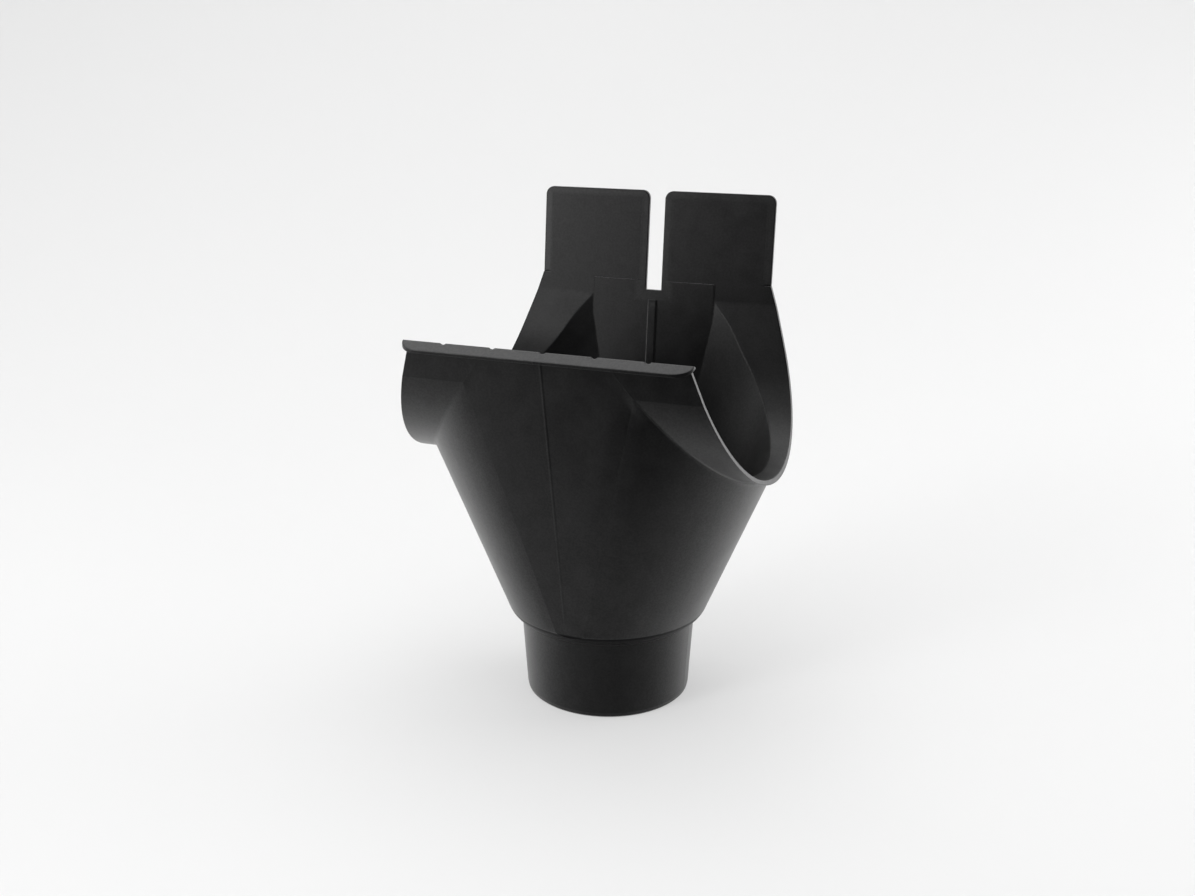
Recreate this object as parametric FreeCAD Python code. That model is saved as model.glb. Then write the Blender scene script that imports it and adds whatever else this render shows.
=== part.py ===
import FreeCAD, Part
import math
import os

# Outlet for a half-round gutter, one moulding in black plastic. Millimetres.
# +Z is up, X runs along the gutter and the hooked lip faces -Y.
# The origin is the centre of the spigot's lower end, on the spigot's axis.

os.makedirs("parts", exist_ok=True)
V = FreeCAD.Vector

# Wall of the whole moulding
wall = 2.0

# Spigot that enters the downpipe, a little wider at its root
spigot_r = 41.9
spigot_height = 38.5
spigot_slope = 0.064
lead_in = 1.1
lead_in_height = 2.4
lead_in_blunt = 0.35

# Shoulder above the spigot: one curve from the crease at its foot up to the ring
shoulder_r = 48.3
shoulder_rise = 6.2
shoulder_bulge = 0.9
crease = 0.45

# Trough that wraps the gutter, seen along X
trough_r = 66.3
trough_y = -6.5
trough_z = 183.7
front_bend_drop = 18.7
back_bend_drop = 20.7
back_blend_drop = 1.7
back_gap = 2.4
lip_z = 182.0

# Ends of the trough and the two tabs, seen from the front
tab_half = 59.5
tab_foot_z = 190.5
tab_top_z = 233.0
end_slope = 0.337
tab_corner = 4.0
slot_half = 4.0
slot_foot_z = 184.8

# Mouth of the funnel: each side lies in a plane that leans inwards going up
mouth_half = 79.2
mouth_slope = 0.765
mouth_skew_slope = 0.066
mouth_skin_ratio = 1.15
front_flat_half = 6.7
back_flat_half = 5.0
flank_turn_degrees = -4.0
overrun_ratio = 1.12

# Lip along the front edge
lip_half = 65.0
lip_depth = 5.5
lip_drop = 2.8
lip_thick = 1.3
lip_undercut = 0.3
lip_corner = 9.0
ridge_fall = 1.5
notch_count = 5
notch_pitch = 22.9
notch_r = 1.4
notch_reach = 0.9
notch_depth = 1.2

# Marks on the inner back wall
border = 4.0
border_depth = 0.5
rib_half = 2.8
rib_height = 0.5
rib_side = 0.8
pad_half = 31.5
pad_top_z = 189.5
pad_side_z = 166.0
pad_foot_rise = 11.0
pad_margin = 0.8
pad_height = 0.25
sunk = 0.3

# Faces nearer than this count as lying in one surface when two bodies are joined
touching = 0.001

# Levels worked out from the sizes above, and a reach that clears the whole part
ring_z = spigot_height + shoulder_rise
front_bend_z = trough_z - front_bend_drop
back_bend_z = trough_z - back_bend_drop
back_blend_z = trough_z - back_blend_drop
low_z = trough_z - trough_r
far = 2.0 * tab_top_z


def solid_of(shape):
    # Every body is stored the right way out.
    body = shape.Solids[0]
    if body.Volume < 0:
        body.reverse()
    return body


def prism_x(points, half):
    wire = Part.makePolygon([V(-half, y, z) for y, z in points + points[:1]])
    return solid_of(Part.Face(wire).extrude(V(2 * half, 0, 0)))


def prism_y(points, y0, y1):
    wire = Part.makePolygon([V(x, y0, z) for x, z in points + points[:1]])
    return solid_of(Part.Face(wire).extrude(V(0, y1 - y0, 0)))


# The front and back planes run from the shoulder's ring up to the lip and the tabs.
bend = trough_z - front_bend_z
front_bend_y = trough_y - math.sqrt(trough_r ** 2 - bend ** 2)
ring_front_y = -math.sqrt(shoulder_r ** 2 - front_flat_half ** 2)
ring_back_y = math.sqrt(shoulder_r ** 2 - back_flat_half ** 2)
back_slope = (trough_y + trough_r + back_gap - ring_back_y) / (trough_z - ring_z)
front_slope = (ring_front_y - front_bend_y) / (front_bend_z - ring_z)
front_skin = math.sqrt(1 + front_slope ** 2)
back_skin = math.sqrt(1 + back_slope ** 2)


def front_y(z, inner=0.0):
    return ring_front_y - front_slope * (z - ring_z) + inner * front_skin


def back_y(z, inner=0.0):
    return ring_back_y + back_slope * (z - ring_z) - inner * back_skin


def end_half(z):
    return tab_half + end_slope * (tab_foot_z - z)


def front_meet_z(inner):
    # Height where the front plane leaves the trough's circle.
    r = trough_r - inner
    y0 = front_y(0, inner) - trough_y
    a = 1 + front_slope ** 2
    b = -front_slope * y0 - trough_z
    c = y0 ** 2 + trough_z ** 2 - r ** 2
    return (-b - math.sqrt(b * b - a * c)) / a


def conic(p0, p1, p2):
    curve = Part.BezierCurve()
    curve.setPoles([p0, p1, p2])
    return curve.toShape()


# Trough wall: one closed section, from the front plane round to the back plane
def trough_path(inner):
    r = trough_r - inner
    z1 = front_meet_z(inner)
    p1 = V(0, front_y(z1, inner), z1)
    low = V(0, trough_y, trough_z - r)
    turn = math.asin((trough_z - back_bend_z) / trough_r)
    p2 = V(0, trough_y + r * math.cos(turn), trough_z - r * math.sin(turn))
    lean = math.tan(turn)
    z3 = (p2.y - lean * p2.z - back_y(0, inner)) / (back_slope - lean)
    p3 = V(0, back_y(z3, inner), z3)
    p4 = V(0, back_y(back_blend_z, inner), back_blend_z)
    return p1, low, p2, p3, p4


def trough_section():
    o1, olow, o2, o3, o4 = trough_path(0.0)
    i1, ilow, i2, i3, i4 = trough_path(wall)
    f_out = V(0, front_y(lip_z), lip_z)
    f_in = V(0, front_y(lip_z - ridge_fall, wall), lip_z - ridge_fall)
    b_out = V(0, back_y(tab_top_z), tab_top_z)
    b_in = V(0, back_y(tab_top_z, wall), tab_top_z)
    edges = [Part.makeLine(f_out, o1), Part.Arc(o1, olow, o2).toShape(),
             conic(o2, o3, o4), Part.makeLine(o4, b_out), Part.makeLine(b_out, b_in),
             Part.makeLine(b_in, i4), conic(i4, i3, i2),
             Part.Arc(i2, ilow, i1).toShape(), Part.makeLine(i1, f_in),
             Part.makeLine(f_in, f_out)]
    return Part.Face(Part.Wire(edges))


def trough_hollow():
    i1, ilow, i2, i3, i4 = trough_path(wall)
    f_in = V(0, front_y(far, wall), far)
    b_in = V(0, back_y(far, wall), far)
    edges = [Part.makeLine(b_in, i4), conic(i4, i3, i2),
             Part.Arc(i2, ilow, i1).toShape(), Part.makeLine(i1, f_in),
             Part.makeLine(f_in, b_in)]
    face = Part.Face(Part.Wire(edges))
    face.translate(V(-far, 0, 0))
    return solid_of(face.extrude(V(2 * far, 0, 0)))


section = trough_section()
section.translate(V(-far, 0, 0))
trough = section.extrude(V(2 * far, 0, 0))
outline = [(-tab_half, tab_foot_z), (-tab_half, tab_top_z), (tab_half, tab_top_z),
           (tab_half, tab_foot_z), (end_half(0), 0), (-end_half(0), 0)]
trough = solid_of(trough.common(prism_y(outline, -far, far)))


# Funnel: ruled faces from the shoulder's ring up to the mouth's edge, carried on a little past it
def mouth_point(inner, y, z):
    x = mouth_half - mouth_slope * (z - low_z) + mouth_skew_slope * (y - trough_y)
    return V(x - mouth_skin_ratio * inner, y, z)


def funnel_solid(inner):
    r = shoulder_r - inner
    yf, yb = front_y(ring_z, inner), back_y(ring_z, inner)
    a_front = -math.acos(math.sqrt(r * r - yf * yf) / r)
    a_back = math.acos(math.sqrt(r * r - yb * yb) / r)
    a_mid = math.radians(flank_turn_degrees)
    rt = trough_r - inner
    p1, low, p2, p3, p4 = trough_path(inner)
    phi0 = math.pi + math.asin((trough_z - p1.z) / rt)
    phi1 = 1.5 * math.pi
    phi2 = 2 * math.pi - math.asin((trough_z - p2.z) / rt)

    def ring_point(a):
        return V(r * math.cos(a), r * math.sin(a), ring_z)

    def carried(b, c):
        return b + (c - b) * overrun_ratio

    front_ring, front_top = [], []
    steps = 4
    for k in range(steps + 1):
        u = k / steps
        b = ring_point(a_front + (a_mid - a_front) * u)
        phi = phi0 + (phi1 - phi0) * u
        c = mouth_point(inner, trough_y + rt * math.cos(phi), trough_z + rt * math.sin(phi))
        front_ring.append(b)
        front_top.append(carried(b, c))
    # The back edge follows the circle first and then the blend into the back plane.
    path = []
    for k in range(steps + 1):
        phi = phi1 + (phi2 - phi1) * k / steps
        path.append((trough_y + rt * math.cos(phi), trough_z + rt * math.sin(phi)))
    for k in (1, 2):
        t = k / 2
        y = (1 - t) ** 2 * p2.y + 2 * t * (1 - t) * p3.y + t * t * p4.y
        z = (1 - t) ** 2 * p2.z + 2 * t * (1 - t) * p3.z + t * t * p4.z
        path.append((y, z))
    lengths = [0.0]
    for (y0, z0), (y1, z1) in zip(path, path[1:]):
        lengths.append(lengths[-1] + math.hypot(y1 - y0, z1 - z0))
    back_ring, back_top = [], []
    for (y, z), s in zip(path, lengths):
        b = ring_point(a_mid + (a_back - a_mid) * s / lengths[-1])
        back_ring.append(b)
        back_top.append(carried(b, mouth_point(inner, y, z)))

    def spline(points):
        curve = Part.BSplineCurve()
        curve.interpolate(points)
        return curve.toShape()

    def flip(points):
        return [V(-q.x, q.y, q.z) for q in points]

    def ring_arc(points):
        middle = (points[0] + points[-1]) / 2
        reach = r / math.hypot(middle.x, middle.y)
        middle = V(middle.x * reach, middle.y * reach, ring_z)
        return Part.Arc(points[0], middle, points[-1]).toShape()

    faces, ring_edges = [], []
    for ring, top in ((front_ring, front_top), (back_ring, back_top)):
        top_edges = []
        for low_points, top_points in ((ring, top), (flip(ring), flip(top))):
            low_edge, top_edge = ring_arc(low_points), spline(top_points)
            faces.append(Part.makeRuledSurface(low_edge, top_edge))
            ring_edges.append(low_edge)
            top_edges.append(top_edge)
        faces.append(Part.makeRuledSurface(*top_edges))
    for ring, top in ((front_ring[0], front_top[0]), (back_ring[-1], back_top[-1])):
        quad = [V(-ring.x, ring.y, ring.z), ring, top, V(-top.x, top.y, top.z)]
        faces.append(Part.Face(Part.makePolygon(quad + quad[:1])))
        ring_edges.append(Part.makeLine(quad[0], quad[1]))
    faces.append(Part.Face(Part.Wire(Part.sortEdges(ring_edges)[0])))
    shell = Part.makeShell(faces)
    shell.sewShape()
    return solid_of(Part.makeSolid(shell))


# Shoulder and spigot: two turned bodies, the outside and the bore
def turned(edges):
    face = Part.Face(Part.Wire(edges))
    return solid_of(face.revolve(V(0, 0, 0), V(0, 0, 1), 360))


def spigot_outside():
    end_r = spigot_r - spigot_slope * (spigot_height - lead_in_height)
    points = [V(0, 0, 0), V(end_r - lead_in, 0, 0), V(end_r - lead_in_blunt, 0, lead_in_blunt * 2),
              V(end_r, 0, lead_in_height),
              V(spigot_r - spigot_slope * crease, 0, spigot_height - crease),
              V(spigot_r + crease, 0, spigot_height)]
    foot, ring, axis = points[-1], V(shoulder_r, 0, ring_z), V(0, 0, ring_z)
    along = (ring - foot).normalize()
    pole = (foot + ring) / 2 + V(along.z, 0, -along.x) * 2 * shoulder_bulge
    edges = [Part.makeLine(p, q) for p, q in zip(points, points[1:])]
    return turned(edges + [conic(foot, pole, ring), Part.makeLine(ring, axis),
                           Part.makeLine(axis, points[0])])


def spigot_bore():
    end_r = spigot_r - wall - spigot_slope * spigot_height
    root_z = spigot_height + wall / 2
    points = [V(0, 0, -wall), V(end_r, 0, -wall), V(end_r, 0, 0), V(spigot_r - wall, 0, root_z),
              V(shoulder_r - wall, 0, ring_z), V(0, 0, ring_z)]
    edges = [Part.makeLine(p, q) for p, q in zip(points, points[1:] + points[:1])]
    return turned(edges)


def between_planes(inner):
    # Keeps the turned bodies inside the front and back planes.
    z0, z1 = spigot_height, ring_z + wall
    points = [(-far, -far), (-far, z0), (front_y(z0, inner), z0), (front_y(z1, inner), z1),
              (back_y(z1, inner), z1), (back_y(z0, inner), z0), (far, z0), (far, -far)]
    return prism_x(points, far)


funnel = funnel_solid(0.0).fuse(spigot_outside().common(between_planes(0.0)))
body = trough.fuse([funnel], touching).cut(trough_hollow())
body = body.cut([funnel_solid(wall)], touching)
body = body.cut([spigot_bore().common(between_planes(wall))], touching)


# Hooked lip: a sloping flange, rounded at both ends where it runs back to the wall
def lip_body():
    y0 = front_y(lip_z)
    tip = y0 - lip_depth
    low = lip_z - lip_drop - lip_thick
    root = low + lip_drop
    middle_z = lip_z - ridge_fall / 2
    points = [(front_y(middle_z, wall / 2), middle_z), (y0, lip_z), (tip, lip_z - lip_drop),
              (tip + lip_undercut, low), (front_y(root), root), (front_y(root, wall / 2), root)]
    bar = prism_x(points, lip_half)
    corner = []
    for side in (1, -1):
        curve = Part.BezierCurve()
        curve.setPoles([V(side * lip_half, y0, 0), V(side * lip_half, tip, 0),
                        V(side * (lip_half - lip_corner), tip, 0)])
        curve.setWeight(2, math.sqrt(0.5))
        corner.append(curve.toShape())
    back = y0 + lip_corner
    edges = [corner[0], corner[1],
             Part.makeLine(V(lip_half - lip_corner, tip, 0), V(lip_corner - lip_half, tip, 0)),
             Part.makeLine(V(-lip_half, y0, 0), V(-lip_half, back, 0)),
             Part.makeLine(V(-lip_half, back, 0), V(lip_half, back, 0)),
             Part.makeLine(V(lip_half, back, 0), V(lip_half, y0, 0))]
    plan = Part.Face(Part.Wire(Part.sortEdges(edges)[0]))
    plan.translate(V(0, 0, -far))
    return bar.common(solid_of(plan.extrude(V(0, 0, 2 * far))))


body = body.fuse(lip_body())
for k in range(notch_count):
    x = (k - (notch_count - 1) / 2) * notch_pitch
    y = front_y(lip_z) + notch_r - notch_reach
    notch = Part.makeCylinder(notch_r, lip_thick + notch_depth, V(x, y, lip_z - notch_depth))
    body = body.cut(notch)


# Marks on the back wall: each lies at a depth below the wall's inner face
def on_back(x, z, depth):
    return V(x, back_y(z, wall - depth), z)


def back_slab(points_a, depth_a, points_b, depth_b):
    wires = []
    for points, depth in ((points_a, depth_a), (points_b, depth_b)):
        corners = [on_back(x, z, depth) for x, z in points]
        wires.append(Part.makePolygon(corners + corners[:1]))
    return solid_of(Part.makeLoft(wires, True, True))


def frame(half, low, high):
    return [(-half, low), (half, low), (half, high), (-half, high)]


def facet_half(z):
    # Half width of the funnel's flat back face, a little inside its edges.
    rise = (z - ring_z) / (pad_side_z - ring_z)
    return back_flat_half + (pad_half - back_flat_half) * rise - pad_margin * (1 - rise)


pad_foot_z = ring_z + pad_foot_rise
pad = [(-pad_half, pad_top_z), (-pad_half, pad_side_z), (-facet_half(pad_foot_z), pad_foot_z),
       (facet_half(pad_foot_z), pad_foot_z), (pad_half, pad_side_z), (pad_half, pad_top_z)]
body = body.fuse(back_slab(pad, -pad_height, pad, sunk))
rib_top = slot_foot_z - border
rib_low = pad_foot_z + border
body = body.fuse(back_slab(frame(rib_half - rib_side, rib_low + rib_side, rib_top - rib_side),
                           -rib_height - pad_height, frame(rib_half, rib_low, rib_top), sunk))

# Slot between the tabs, and a bevel that runs round the slot and round the tabs
body = body.cut(Part.makeBox(2 * slot_half, far, far, V(-slot_half, 0, slot_foot_z)))
above_z = tab_top_z + border
below_z = tab_foot_z - border
body = body.cut(back_slab(frame(slot_half + 2 * border, slot_foot_z - 2 * border, above_z),
                          -border_depth, frame(slot_half, slot_foot_z, above_z), border_depth))
around = frame(tab_half + border, tab_foot_z, above_z)
keep = back_slab(frame(tab_half - 2 * border, below_z, tab_top_z - 2 * border), -border_depth,
                 frame(tab_half, below_z, tab_top_z), border_depth)
body = body.cut(back_slab(around, -border_depth, around, border_depth).cut(keep))


def corner_cutter(x, side):
    r = tab_corner
    low_x = min(x - side * r, x + side * wall)
    block = Part.makeBox(r + wall, far, r + wall, V(low_x, 0, tab_top_z - r))
    disc = Part.makeCylinder(r, far, V(x - side * r, 0, tab_top_z - r), V(0, 1, 0))
    return block.cut(disc)


for x, side in ((-tab_half, -1), (-slot_half, 1), (slot_half, -1), (tab_half, 1)):
    body = body.cut(corner_cutter(x, side))

body = solid_of(body.removeSplitter())
body.exportStep("parts/gutter_outlet.step")
print("solids", len(body.Solids), "valid", body.isValid(), "volume", round(body.Volume))
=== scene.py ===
import math

import bpy
from mathutils import Matrix, Vector

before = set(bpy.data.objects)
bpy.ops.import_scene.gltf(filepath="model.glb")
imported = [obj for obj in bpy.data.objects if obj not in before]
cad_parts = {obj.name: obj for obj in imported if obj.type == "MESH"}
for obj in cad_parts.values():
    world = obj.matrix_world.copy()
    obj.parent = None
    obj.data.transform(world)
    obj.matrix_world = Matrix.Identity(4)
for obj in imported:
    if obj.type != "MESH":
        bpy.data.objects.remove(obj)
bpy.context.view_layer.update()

# The outlet: one injection moulding in black plastic, from a tool with a fine spark-eroded grain.
# It hangs under a half-round gutter. The front bead sits over the gutter's lip, the two back tabs
# are bent over its back edge, and the spigot drops into the downpipe.
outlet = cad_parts["gutter_outlet"]
plastic_deep = (0.0035, 0.0035, 0.0037, 1.0)
plastic_pale = (0.0050, 0.0050, 0.0052, 1.0)
grain_size = 0.00035
speck_size = 0.0009
flow_size = 0.030
blotch_size = 0.012
melt_stretch = (4.0, 4.0, 0.9)
roughness = (0.33, 0.39)
gloss_low = 0.12
gloss_gain = 1.95
# Painted shade: the share of gloss left in the shoulder's groove.
groove_painted_shade = 0.08
# Painted highlight: the gain of gloss along the tabs' border.
border_painted_highlight = 1.3
edge_round_inside = 0.0012
edge_round_outside = 0.0005
grain_depth = 0.0001
sink_depth = 0.0004
parting_x = -0.0018
parting_half = 0.0009
parting_height = 0.00012
parting_foot_z = 0.045
# The funnel's flat front and back: half their width at the ring, and how much it grows with height.
ring_z = 0.0447
front_flat = (0.0067, 0.265)
back_flat = (0.0050, 0.213)
flat_reach = 0.0095
flat_turn = (0.18, 0.26)
# The mouth, where the funnel's flanks meet the trough: its place, and its bend low down and high up.
mouth_half = 0.0792
mouth_slope = 0.765
mouth_skew = 0.066
mouth_round = 0.0045
mouth_turn = (1.17, 0.27)
turn_z = (0.1174, 0.165)
trough_y = -0.0065
# The shoulder's groove, the tabs with their sunk border, the slot and the pad below it.
shoulder_z = (0.0372, 0.0388, 0.0436, 0.0450)
tab_half = 0.0595
tab_foot_z = 0.1905
tab_top_z = 0.2330
slot_half = 0.0040
slot_foot_z = 0.1848
border = 0.0040
border_depth = 0.0005
pad_top_z = 0.1895
pad_border = 0.0060
back_wall_y = 0.040
wall_lean = 12.0


def new_material(name):
    material = bpy.data.materials.new(name)
    material.use_nodes = True
    tree = material.node_tree
    tree.nodes.clear()
    return material, tree


def add(tree, kind, inputs=None, **settings):
    node = tree.nodes.new(kind)
    for key, value in settings.items():
        setattr(node, key, value)
    for key, value in (inputs or {}).items():
        if isinstance(value, bpy.types.NodeSocket):
            tree.links.new(value, node.inputs[key])
        else:
            node.inputs[key].default_value = value
    return node


def math_node(tree, operation, *values, clamp=False):
    node = add(tree, "ShaderNodeMath", dict(enumerate(values)), operation=operation, use_clamp=clamp)
    return node.outputs[0]


def ramp(tree, value, low, high, start=0.0, end=1.0):
    node = add(tree, "ShaderNodeMapRange", {"Value": value, "From Min": low, "From Max": high,
                                           "To Min": start, "To Max": end},
               interpolation_type="SMOOTHSTEP", clamp=True)
    return node.outputs["Result"]


def noise(tree, place, size, detail=2.0, stretch=(1.0, 1.0, 1.0)):
    scaled = add(tree, "ShaderNodeVectorMath", {0: place, 1: stretch}, operation="MULTIPLY")
    node = add(tree, "ShaderNodeTexNoise", {"Vector": scaled.outputs[0], "Scale": 1.0 / size,
                                           "Detail": detail, "Roughness": 0.55})
    return node.outputs["Fac"]


def rounding(tree, distance, turn, reach):
    # Depth between a sharp edge and the arc that replaces it within this reach on each side.
    inside = math_node(tree, "SUBTRACT", reach, math_node(tree, "ABSOLUTE", distance))
    inside = math_node(tree, "MAXIMUM", inside, 0.0)
    share = math_node(tree, "DIVIDE", turn, math_node(tree, "MULTIPLY", reach, 4.0))
    return math_node(tree, "MULTIPLY", math_node(tree, "MULTIPLY", inside, inside), share)


def soft_edges(tree, x, y, z, outward):
    # The corners beside the flat front and back are rounded over, and the mouth's valley is filled.
    # Behind is 0 on the front half of the part and 1 on its back half.
    behind = ramp(tree, y, -0.001, 0.001)
    wide = math_node(tree, "ABSOLUTE", x)
    rise = math_node(tree, "SUBTRACT", z, ring_z)
    half = ramp(tree, behind, 0.0, 1.0, front_flat[0], back_flat[0])
    slope = ramp(tree, behind, 0.0, 1.0, front_flat[1], back_flat[1])
    flat_edge = math_node(tree, "MULTIPLY_ADD", rise, slope, half)
    past_flat = math_node(tree, "SUBTRACT", wide, flat_edge)
    mouth_edge = math_node(tree, "MULTIPLY_ADD", y, mouth_skew, mouth_half - mouth_skew * trough_y)
    mouth_edge = math_node(tree, "MULTIPLY_ADD", z, -mouth_slope,
                           math_node(tree, "ADD", mouth_edge, mouth_slope * turn_z[0]))
    past_mouth = math_node(tree, "SUBTRACT", wide, mouth_edge)
    flat_bend = add(tree, "ShaderNodeMapRange", {"Value": z, "From Min": ring_z,
                    "From Max": turn_z[1], "To Min": flat_turn[0], "To Max": flat_turn[1]})
    mouth_bend = add(tree, "ShaderNodeMapRange", {"Value": z, "From Min": turn_z[0],
                     "From Max": turn_z[1], "To Min": mouth_turn[0], "To Max": mouth_turn[1]})
    flat_bend, mouth_bend = flat_bend.outputs["Result"], mouth_bend.outputs["Result"]
    worn = rounding(tree, past_flat, flat_bend, flat_reach)
    worn = math_node(tree, "MULTIPLY", worn, ramp(tree, past_mouth, -0.006, 0.0, 1.0, 0.0))
    worn = math_node(tree, "MULTIPLY", worn, ramp(tree, rise, 0.0, 0.004))
    filled = rounding(tree, past_mouth, mouth_bend,
                      math_node(tree, "MULTIPLY", mouth_bend, mouth_round / 2))
    height = math_node(tree, "SUBTRACT", filled, worn)
    return math_node(tree, "MULTIPLY", height, ramp(tree, outward, 0.0, 0.15))


def tab_border(tree, x, z):
    # How far a place lies past the inner edge of the border round the tabs and the slot.
    wide = math_node(tree, "ABSOLUTE", x)
    slot = math_node(tree, "MAXIMUM", math_node(tree, "SUBTRACT", wide, slot_half),
                     math_node(tree, "SUBTRACT", slot_foot_z, z))
    reach = ramp(tree, z, pad_top_z - 0.0002, pad_top_z + 0.0002, pad_border, border)
    by_slot = math_node(tree, "SUBTRACT", reach, slot)
    side = math_node(tree, "SUBTRACT", tab_half, wide)
    side = math_node(tree, "MINIMUM", side, math_node(tree, "SUBTRACT", tab_top_z, z))
    by_edge = math_node(tree, "MULTIPLY", math_node(tree, "SUBTRACT", border, side),
                        ramp(tree, z, tab_foot_z, tab_foot_z + 0.0008))
    return math_node(tree, "MAXIMUM", math_node(tree, "MAXIMUM", by_slot, by_edge), 0.0)


def black_plastic():
    material, tree = new_material("black_plastic_grained")
    place = add(tree, "ShaderNodeTexCoord").outputs["Object"]
    axes = add(tree, "ShaderNodeSeparateXYZ", {0: place})
    normal = add(tree, "ShaderNodeNewGeometry").outputs["Normal"]
    facing = add(tree, "ShaderNodeSeparateXYZ", {0: normal})
    x, y, z = axes.outputs
    # Outward is above 0 on the outside of the walls and below 0 on their inside.
    away = add(tree, "ShaderNodeVectorMath", {0: place, 1: (wall_lean, wall_lean, 0.0)},
               operation="MULTIPLY")
    away = add(tree, "ShaderNodeVectorMath", {0: away.outputs[0], 1: (0.0, 0.0, 1.0)},
               operation="SUBTRACT")
    outward = add(tree, "ShaderNodeVectorMath", {0: normal, 1: away.outputs[0]},
                  operation="DOT_PRODUCT").outputs["Value"]
    # Colour: slow clouds in the black, and faint streaks where the melt ran down the tool.
    clouds = noise(tree, place, blotch_size, 3.0)
    streaks = noise(tree, place, flow_size, 2.0, melt_stretch)
    specks = noise(tree, place, speck_size, 1.0)
    blend = math_node(tree, "MULTIPLY_ADD", clouds, 0.7, math_node(tree, "MULTIPLY", streaks, 0.3))
    colour = add(tree, "ShaderNodeMix", {0: ramp(tree, blend, 0.35, 0.65), 6: plastic_deep,
                                        7: plastic_pale}, data_type="RGBA")
    rough = ramp(tree, blend, 0.3, 0.7, roughness[0], roughness[1])
    # Gloss: weak where the surface is seen square on, strong where it turns away, and cut low in the
    # narrow groove of the shoulder: painted shade in the crease.
    turned = add(tree, "ShaderNodeLayerWeight", {"Blend": 0.5}).outputs["Facing"]
    gloss = math_node(tree, "MULTIPLY_ADD", math_node(tree, "POWER", turned, 2.0), gloss_gain,
                      gloss_low)
    groove_shade_mask = math_node(tree, "MULTIPLY", ramp(tree, z, shoulder_z[0], shoulder_z[1]),
                       ramp(tree, z, shoulder_z[2], shoulder_z[3], 1.0, 0.0))
    gloss = math_node(tree, "MULTIPLY", gloss, ramp(tree, groove_shade_mask, 0.0, 1.0, 1.0, groove_painted_shade))
    gloss = math_node(tree, "MULTIPLY", gloss, ramp(tree, blend, 0.3, 0.7, 0.94, 1.06))
    gloss = math_node(tree, "MULTIPLY", gloss, ramp(tree, specks, 0.3, 0.7, 0.88, 1.12))
    # Painted highlight on the tabs' border as a band of more gloss; it is shaded as if level with
    # them.
    within = tab_border(tree, x, z)
    within = math_node(tree, "MULTIPLY", within, ramp(tree, outward, -0.15, 0.0, 1.0, 0.0))
    within = math_node(tree, "MULTIPLY", within, ramp(tree, y, back_wall_y, back_wall_y + 0.005))
    gloss = math_node(tree, "MULTIPLY", gloss, ramp(tree, within, 0.0, border / 2, 1.0, border_painted_highlight))
    level_up = math_node(tree, "MULTIPLY", within, border_depth / border)
    # Relief: rounded edges, the grain, slow sink and the fine line where the tool's halves meet.
    edge_round = ramp(tree, outward, -0.1, 0.1, edge_round_inside, edge_round_outside)
    edge = add(tree, "ShaderNodeBevel", {"Radius": edge_round}, samples=8)
    shape = math_node(tree, "ADD", soft_edges(tree, x, y, z, outward), level_up)
    soft = add(tree, "ShaderNodeBump", {"Strength": 1.0, "Distance": 1.0, "Normal": edge.outputs[0],
                                       "Height": shape})
    grain = noise(tree, place, grain_size, 1.0)
    relief = add(tree, "ShaderNodeBump", {"Strength": 0.10, "Distance": grain_depth,
                                         "Height": grain, "Normal": soft.outputs[0]})
    sink = add(tree, "ShaderNodeBump", {"Strength": 0.06, "Distance": sink_depth,
                                       "Height": streaks, "Normal": relief.outputs[0]})
    aside = math_node(tree, "ABSOLUTE", math_node(tree, "SUBTRACT", x, parting_x))
    line = ramp(tree, aside, 0.0, parting_half, 1.0, 0.0)
    square_on = math_node(tree, "MULTIPLY", math_node(tree, "SIGN", y), facing.outputs[1])
    outside = math_node(tree, "MULTIPLY", ramp(tree, square_on, 0.5, 0.8),
                        ramp(tree, z, parting_foot_z, parting_foot_z + 0.015))
    parting = add(tree, "ShaderNodeBump", {"Strength": 1.0, "Distance": parting_height,
                                          "Height": math_node(tree, "MULTIPLY", line, outside),
                                          "Normal": sink.outputs[0]})
    shader = add(tree, "ShaderNodeBsdfPrincipled", {"Base Color": colour.outputs[2],
                                                   "Roughness": rough, "Normal": parting.outputs[0],
                                                   "Specular IOR Level": gloss, "IOR": 1.5})
    add(tree, "ShaderNodeOutputMaterial", {"Surface": shader.outputs[0]})
    return material


outlet.data.materials.clear()
outlet.data.materials.append(black_plastic())


# The camera: it stands in front of the part, to its right and a little above it, and looks
# slightly down. Its place, its angles and its lens were fitted to the part's outline.
image_width = 1195
camera_place = (0.21832, -0.5540, 0.3047)
camera_azimuth = math.radians(22.0)
camera_fall = math.radians(17.218)
camera_roll = math.radians(-0.054)
toward_camera = Vector((math.sin(camera_azimuth), -math.cos(camera_azimuth), 0.0))
camera_right = Vector((math.cos(camera_azimuth), math.sin(camera_azimuth), 0.0))
focal_pixels = 1325.74
sensor = 36.0


def set_camera():
    data = bpy.data.cameras.new("camera")
    data.sensor_fit = "HORIZONTAL"
    data.sensor_width = sensor
    data.lens = focal_pixels / image_width * sensor
    data.clip_start = 0.01
    camera = bpy.data.objects.new("camera", data)
    back = toward_camera * math.cos(camera_fall) + Vector((0.0, 0.0, math.sin(camera_fall)))
    up = back.cross(camera_right)
    side = camera_right * math.cos(camera_roll) + up * math.sin(camera_roll)
    top = up * math.cos(camera_roll) - camera_right * math.sin(camera_roll)
    turn = Matrix((side, top, back)).transposed()
    camera.matrix_world = Matrix.Translation(camera_place) @ turn.to_4x4()
    bpy.context.scene.collection.objects.link(camera)
    bpy.context.scene.camera = camera


set_camera()

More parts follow.
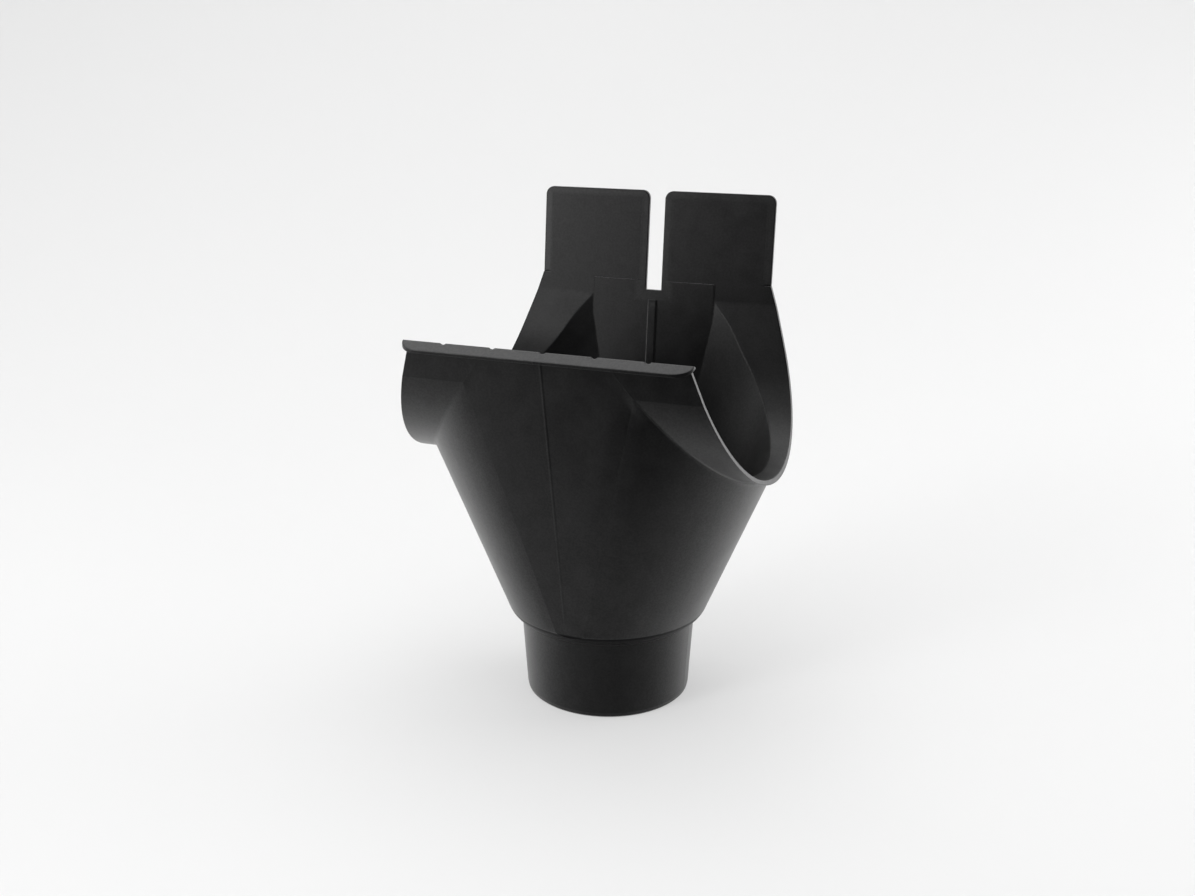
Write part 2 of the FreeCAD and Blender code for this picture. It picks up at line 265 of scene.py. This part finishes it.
# The table and backdrop: one sheet of matt white card, square to the camera, that sweeps up
# behind the part. A round black disc lies under the camera, where only gloss sees it: a painted
# dark reflection, shade that darkens what the part's front reflects.
card_colour = (0.80, 0.80, 0.80, 1.0)
card_seen = (0.81, 0.81, 0.81, 1.0)
card_glow = 0.5
sweep_steps = 16
sweep_half = 4.0
sweep_front = -4.0
sweep_back = 1.2
sweep_radius = 0.8
sweep_top = 2.5
# Size and lift of the disc of painted dark reflection.
dark_disc_radius = 0.42
dark_disc_lift = 0.001


def white_card():
    material, tree = new_material("white_card")
    card = add(tree, "ShaderNodeBsdfPrincipled", {"Base Color": card_colour,
                                                 "Roughness": 0.9, "Specular IOR Level": 0.1})
    glow = add(tree, "ShaderNodeEmission", {"Color": card_seen, "Strength": 1.0})
    ray = add(tree, "ShaderNodeLightPath").outputs
    seen = math_node(tree, "MAXIMUM", ray["Is Camera Ray"], ray["Is Glossy Ray"])
    seen = math_node(tree, "MAXIMUM", seen, ray["Is Transmission Ray"])
    share = math_node(tree, "MULTIPLY", seen, card_glow)
    mixed = add(tree, "ShaderNodeMixShader", {0: share, 1: card.outputs[0], 2: glow.outputs[0]})
    add(tree, "ShaderNodeOutputMaterial", {"Surface": mixed.outputs[0]})
    return material


# A painted dark reflection: a black sheet that only gloss sees.
def dark_reflection_sheet():
    material, tree = new_material("dark_reflection_sheet")
    dark_sheet = add(tree, "ShaderNodeBsdfDiffuse", {"Color": (0.01, 0.01, 0.01, 1.0)})
    add(tree, "ShaderNodeOutputMaterial", {"Surface": dark_sheet.outputs[0]})
    return material


def stage_sheet(name, points, faces, material):
    mesh = bpy.data.meshes.new(name)
    mesh.from_pydata(points, [], faces)
    for polygon in mesh.polygons:
        polygon.use_smooth = True
    mesh.materials.append(material)
    sheet = bpy.data.objects.new(name, mesh)
    bpy.context.scene.collection.objects.link(sheet)
    return sheet


def card_sweep():
    rows = [(sweep_front, 0.0)]
    for step in range(sweep_steps + 1):
        turn = math.pi / 2 * step / sweep_steps
        rows.append((sweep_back - sweep_radius + sweep_radius * math.sin(turn),
                     sweep_radius - sweep_radius * math.cos(turn)))
    rows.append((sweep_back, sweep_top))
    points, faces = [], []
    for away, height in rows:
        for side in (-sweep_half, sweep_half):
            points.append(camera_right * side - toward_camera * away + Vector((0.0, 0.0, height)))
    for k in range(len(rows) - 1):
        faces.append((2 * k, 2 * k + 1, 2 * k + 3, 2 * k + 2))
    stage_sheet("card_sweep", points, faces, white_card())


def dark_reflection_disc():
    corners = 64
    points = []
    for k in range(corners):
        turn = 2 * math.pi * k / corners
        points.append((camera_place[0] + dark_disc_radius * math.cos(turn),
                       camera_place[1] + dark_disc_radius * math.sin(turn), dark_disc_lift))
    disc = stage_sheet("dark_reflection_sheet", points, [list(range(corners))], dark_reflection_sheet())
    disc.visible_camera = False
    disc.visible_diffuse = False
    disc.visible_shadow = False


card_sweep()
dark_reflection_disc()

# The light of a small white tent, open towards the camera: glowing walls behind, at both sides
# and above, and lamps above, at the front left and at the back right.
tent_seen = (0.86, 0.86, 0.86, 1.0)
tent_half_width = 0.35
tent_front = 0.43
tent_back = 0.27
tent_height = 0.58
tent_blur = 0.15
wall_glow = {"front": 0.0, "back": 1.3, "left": 1.1, "right": 0.6, "roof": 1.9}


def tent_light():
    world = bpy.data.worlds.new("tent")
    bpy.context.scene.world = world
    world.use_nodes = True
    tree = world.node_tree
    tree.nodes.clear()
    way = add(tree, "ShaderNodeTexCoord").outputs["Generated"]
    ahead = add(tree, "ShaderNodeVectorMath", {0: way, 1: toward_camera}, operation="DOT_PRODUCT")
    aside = add(tree, "ShaderNodeVectorMath", {0: way, 1: camera_right}, operation="DOT_PRODUCT")
    above = add(tree, "ShaderNodeSeparateXYZ", {0: way})
    ahead, aside, above = ahead.outputs["Value"], aside.outputs["Value"], above.outputs["Z"]
    # The wall that a direction meets is the one with the largest of these five numbers.
    reach = {"front": math_node(tree, "DIVIDE", ahead, tent_front),
             "back": math_node(tree, "DIVIDE", ahead, -tent_back),
             "left": math_node(tree, "DIVIDE", aside, -tent_half_width),
             "right": math_node(tree, "DIVIDE", aside, tent_half_width),
             "roof": math_node(tree, "DIVIDE", above, tent_height)}
    total = 0.0
    for name, mine in reach.items():
        most = -9.0
        for other, value in reach.items():
            if other != name:
                most = math_node(tree, "MAXIMUM", most, value)
        lead = math_node(tree, "SUBTRACT", mine, most)
        part = ramp(tree, lead, -tent_blur, tent_blur, 0.0, wall_glow[name])
        total = math_node(tree, "ADD", total, part)
    light = add(tree, "ShaderNodeBackground", {"Color": (1.0, 1.0, 1.0, 1.0), "Strength": total})
    # Looked at past the card it is plain and pale; the gloss of the plastic shows the tent itself.
    pale = add(tree, "ShaderNodeBackground", {"Color": tent_seen, "Strength": 1.0})
    ray = add(tree, "ShaderNodeLightPath").outputs
    seen = math_node(tree, "MAXIMUM", ray["Is Camera Ray"], ray["Is Transmission Ray"])
    mixed = add(tree, "ShaderNodeMixShader", {0: seen, 1: light.outputs[0], 2: pale.outputs[0]})
    add(tree, "ShaderNodeOutputWorld", {"Surface": mixed.outputs[0]})


def soft_box(name, place, aim, width, height, radiance):
    lamp = bpy.data.lights.new(name, "AREA")
    lamp.shape = "RECTANGLE"
    lamp.size = width
    lamp.size_y = height
    lamp.energy = radiance * math.pi * width * height
    box = bpy.data.objects.new(name, lamp)
    box.location = place
    box.rotation_euler = (Vector(aim) - Vector(place)).to_track_quat("-Z", "Y").to_euler()
    box.visible_camera = False
    bpy.context.scene.collection.objects.link(box)


tent_light()
soft_box("roof_light", (-0.42, 0.45, 1.05), (0.0, 0.0, 0.15), 1.0, 1.0, 0.9)
soft_box("front_left_light", (-0.67, -1.05, 0.42), (0.0, 0.0, 0.15), 0.34, 0.80, 8.8)
soft_box("right_light", (0.95, 0.75, 0.45), (0.0, 0.0, 0.12), 0.9, 0.9, 2.5)

bpy.context.scene.view_settings.view_transform = "Standard"
